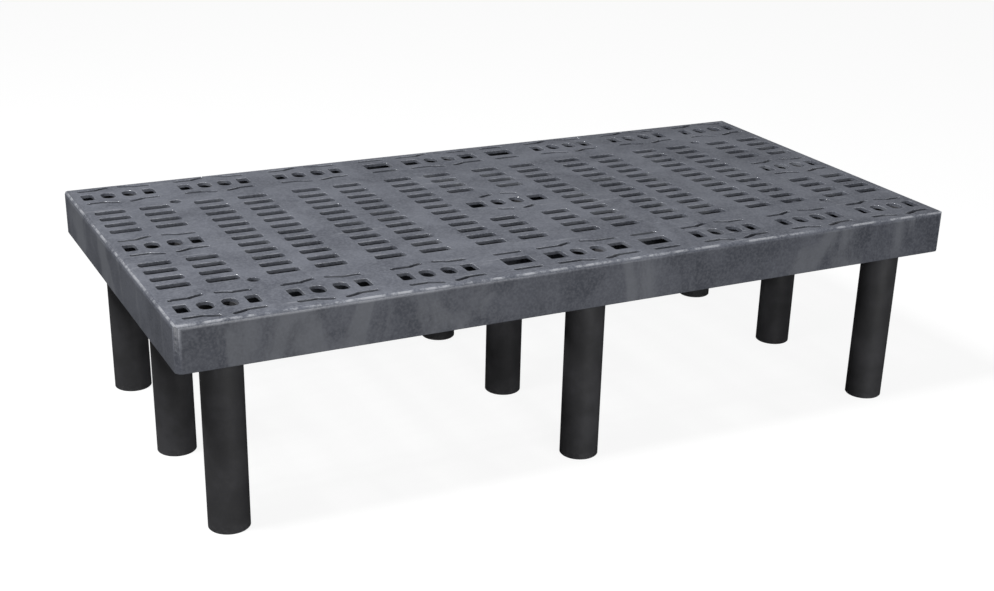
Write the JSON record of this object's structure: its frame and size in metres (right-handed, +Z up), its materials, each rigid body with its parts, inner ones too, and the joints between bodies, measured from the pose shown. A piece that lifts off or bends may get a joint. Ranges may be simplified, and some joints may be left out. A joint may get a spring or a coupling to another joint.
{
  "type": "vented plastic dunnage rack",
  "caption": "Low storage platform: a one-piece slotted plastic deck with a deep skirt on round pipe legs pushed into sockets beneath it.",
  "frame": {"origin": "on the floor under the middle of the deck", "axes": "+X along the deck's length, +Y across it to the back, +Z up"},
  "size_m": [1.2192, 0.6096, 0.3175],
  "materials": {
    "deck_plastic": "satin dark blue-grey moulded polyethylene, faintly mottled",
    "leg_pipe": "dull black extruded pipe"
  },
  "bodies": {
    "root": {"deck": "deck_plastic", "leg_front_left": "leg_pipe", "leg_front_centre": "leg_pipe", "leg_front_right": "leg_pipe", "leg_middle_left": "leg_pipe", "leg_middle_centre": "leg_pipe", "leg_middle_right": "leg_pipe", "leg_back_left": "leg_pipe", "leg_back_centre": "leg_pipe", "leg_back_right": "leg_pipe"}
  },
  "joints": []
}
